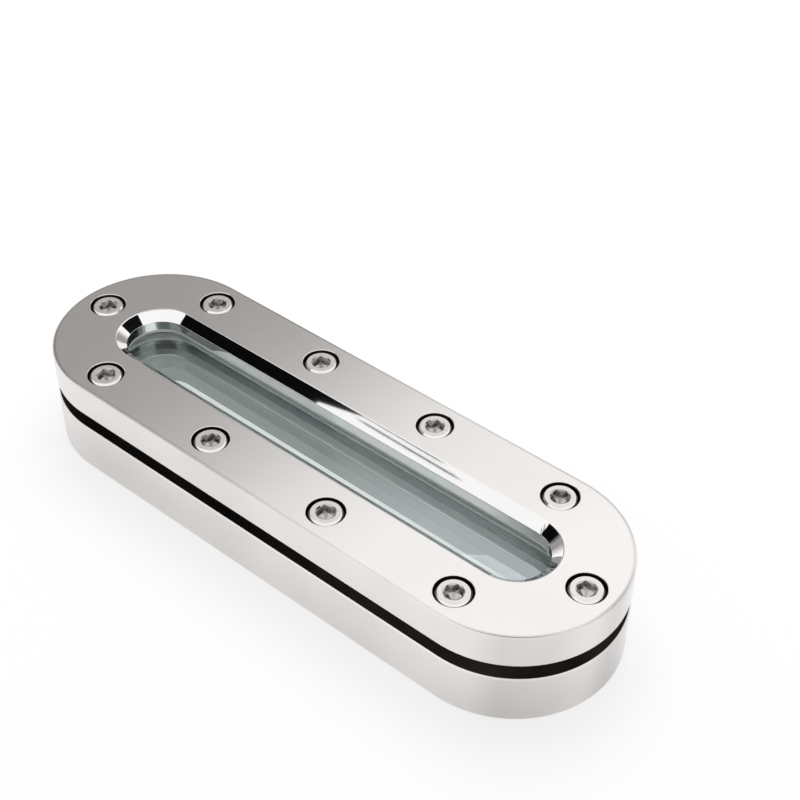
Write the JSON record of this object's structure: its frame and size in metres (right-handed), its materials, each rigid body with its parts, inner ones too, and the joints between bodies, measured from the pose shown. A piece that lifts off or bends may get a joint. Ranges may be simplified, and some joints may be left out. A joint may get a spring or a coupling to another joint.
{
  "type": "tank sight glass",
  "caption": "Obround weld-on tank sight glass: weld flange, thick glass on gaskets, bevelled cover flange and recessed socket head cap screws.",
  "frame": {"origin": "middle of the face that is welded to the tank, at the base of the weld flange", "axes": "+X along the window, +Y across it, +Z out of the tank, through the glass towards the viewer"},
  "size_m": [0.2, 0.064, 0.0318],
  "materials": {
    "cover_steel": "satin-polished stainless faces with a bright bevel",
    "base_steel": "satin-polished stainless",
    "screw_steel": "bright polished stainless",
    "joint_rubber": "matt black rubber",
    "seat_sheet": "pale grey gasket sheet",
    "cushion_sheet": "pale gasket sheet",
    "window_glass": "clear greenish toughened glass with ground edges"
  },
  "bodies": {
    "root": {"base_flange": "base_steel", "seat_gasket": "seat_sheet", "sight_glass": "window_glass", "cushion_gasket": "cushion_sheet", "joint_gasket": "joint_rubber", "cover_flange": "cover_steel", "cap_screw_01": "screw_steel", "cap_screw_02": "screw_steel", "cap_screw_03": "screw_steel", "cap_screw_04": "screw_steel", "cap_screw_05": "screw_steel", "cap_screw_06": "screw_steel", "cap_screw_07": "screw_steel", "cap_screw_08": "screw_steel", "cap_screw_09": "screw_steel", "cap_screw_10": "screw_steel"}
  },
  "joints": []
}
